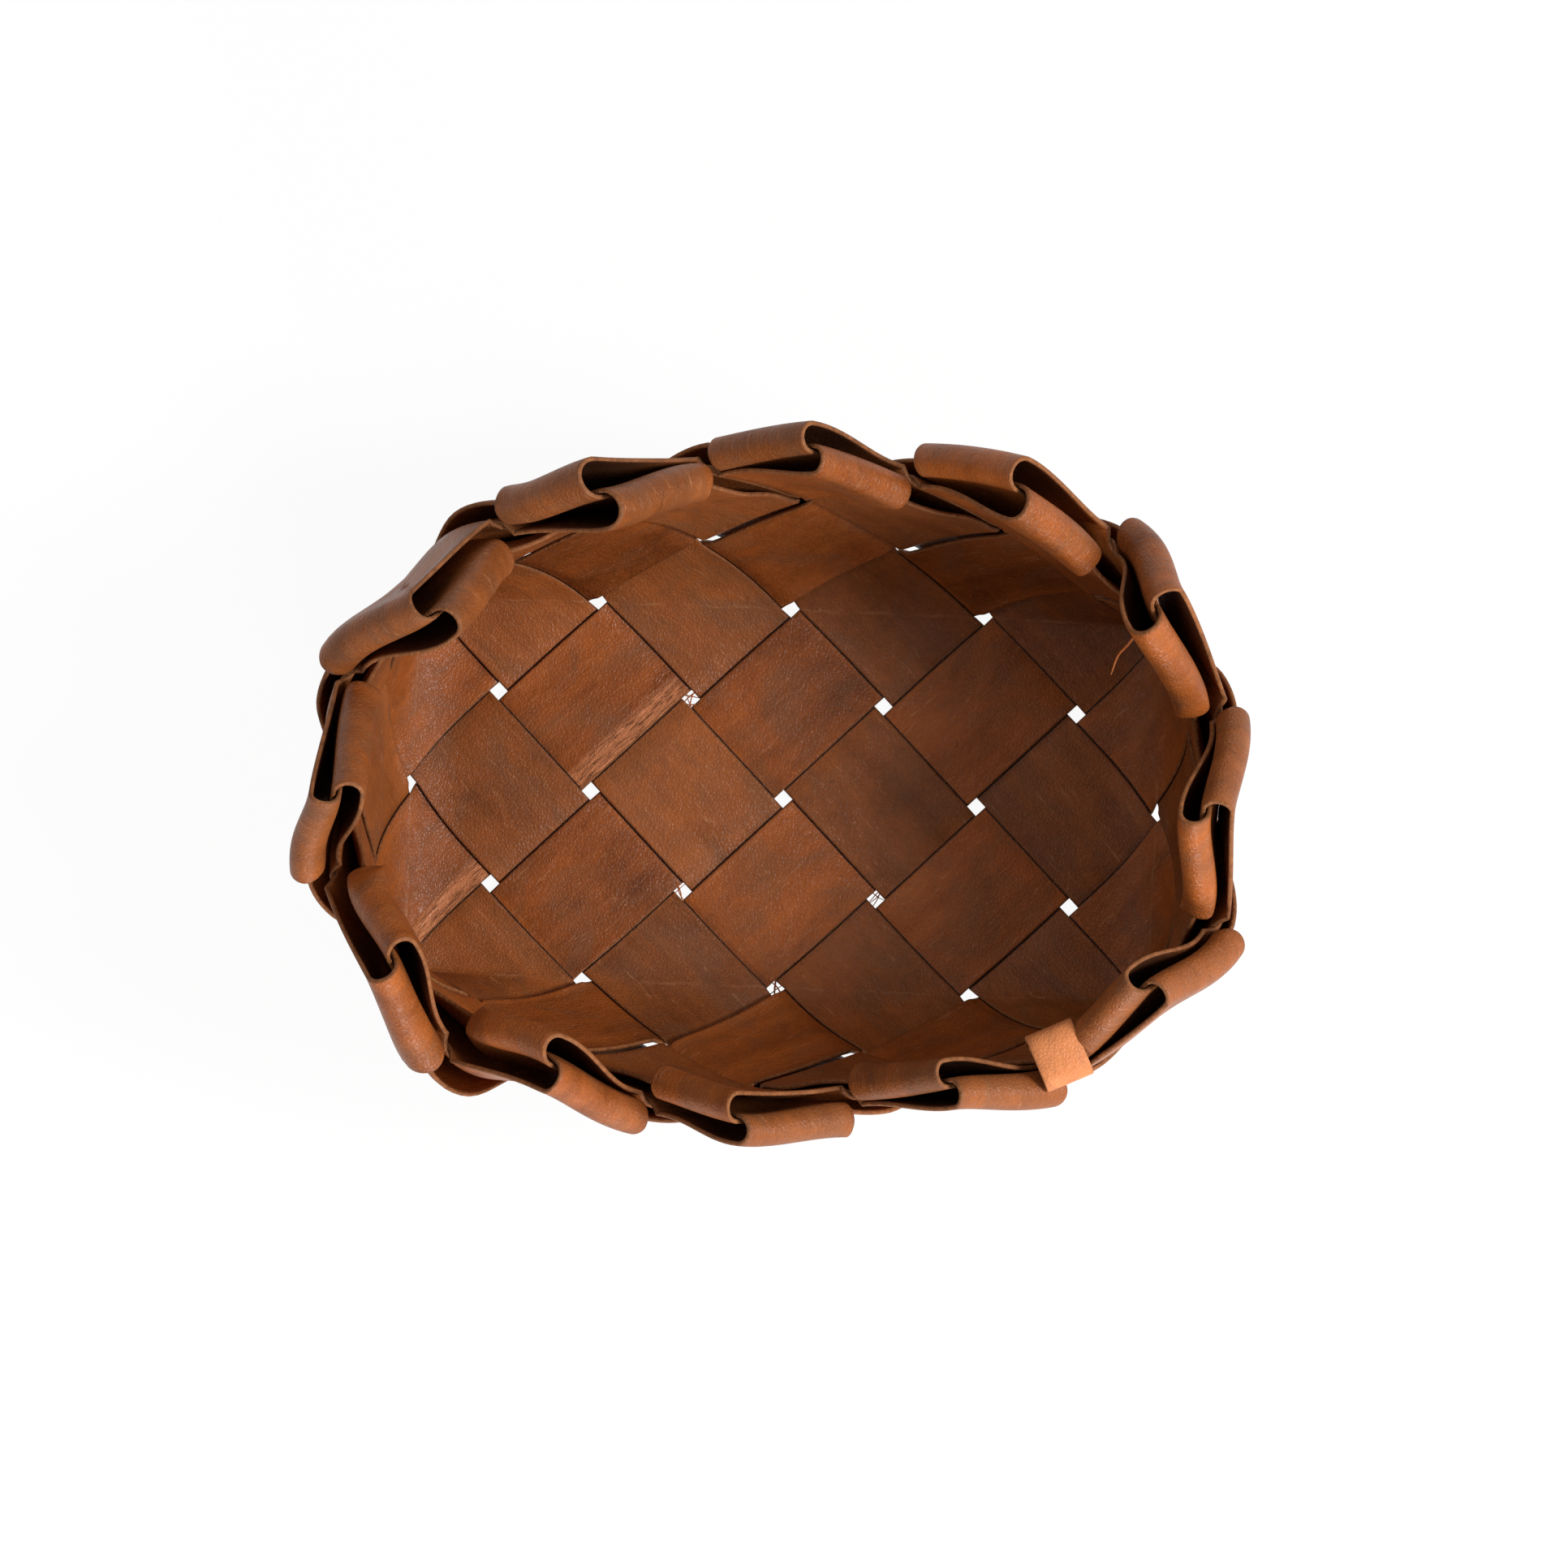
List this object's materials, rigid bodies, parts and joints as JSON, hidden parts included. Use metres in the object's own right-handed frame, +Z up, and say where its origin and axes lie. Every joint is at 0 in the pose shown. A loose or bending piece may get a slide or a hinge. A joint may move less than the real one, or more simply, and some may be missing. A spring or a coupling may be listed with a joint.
{
  "type": "storage basket",
  "caption": "Oval open storage basket plaited on the bias from wide brown leather strips, with a rolled zigzag rim and a small tan loop over the rim.",
  "frame": {"origin": "on the surface the basket stands on, under the middle of its overall box", "axes": "+Z up out of the open top, +X along the longer side of the oval"},
  "size_m": [0.2942, 0.2208, 0.1306],
  "materials": {
    "brown_leather": "satin",
    "dark_leather": "satin",
    "tan_leather": "satin"
  },
  "bodies": {
    "root": {"rising_strip_1": "brown_leather", "rising_strip_2": "brown_leather", "rising_strip_3": "brown_leather", "rising_strip_4": "brown_leather", "rising_strip_5": "brown_leather", "rising_strip_6": "brown_leather", "falling_strip_1": "dark_leather", "falling_strip_2": "dark_leather", "falling_strip_3": "dark_leather", "falling_strip_4": "dark_leather", "falling_strip_5": "dark_leather", "falling_strip_6": "dark_leather", "tan_loop": "tan_leather"}
  },
  "joints": []
}
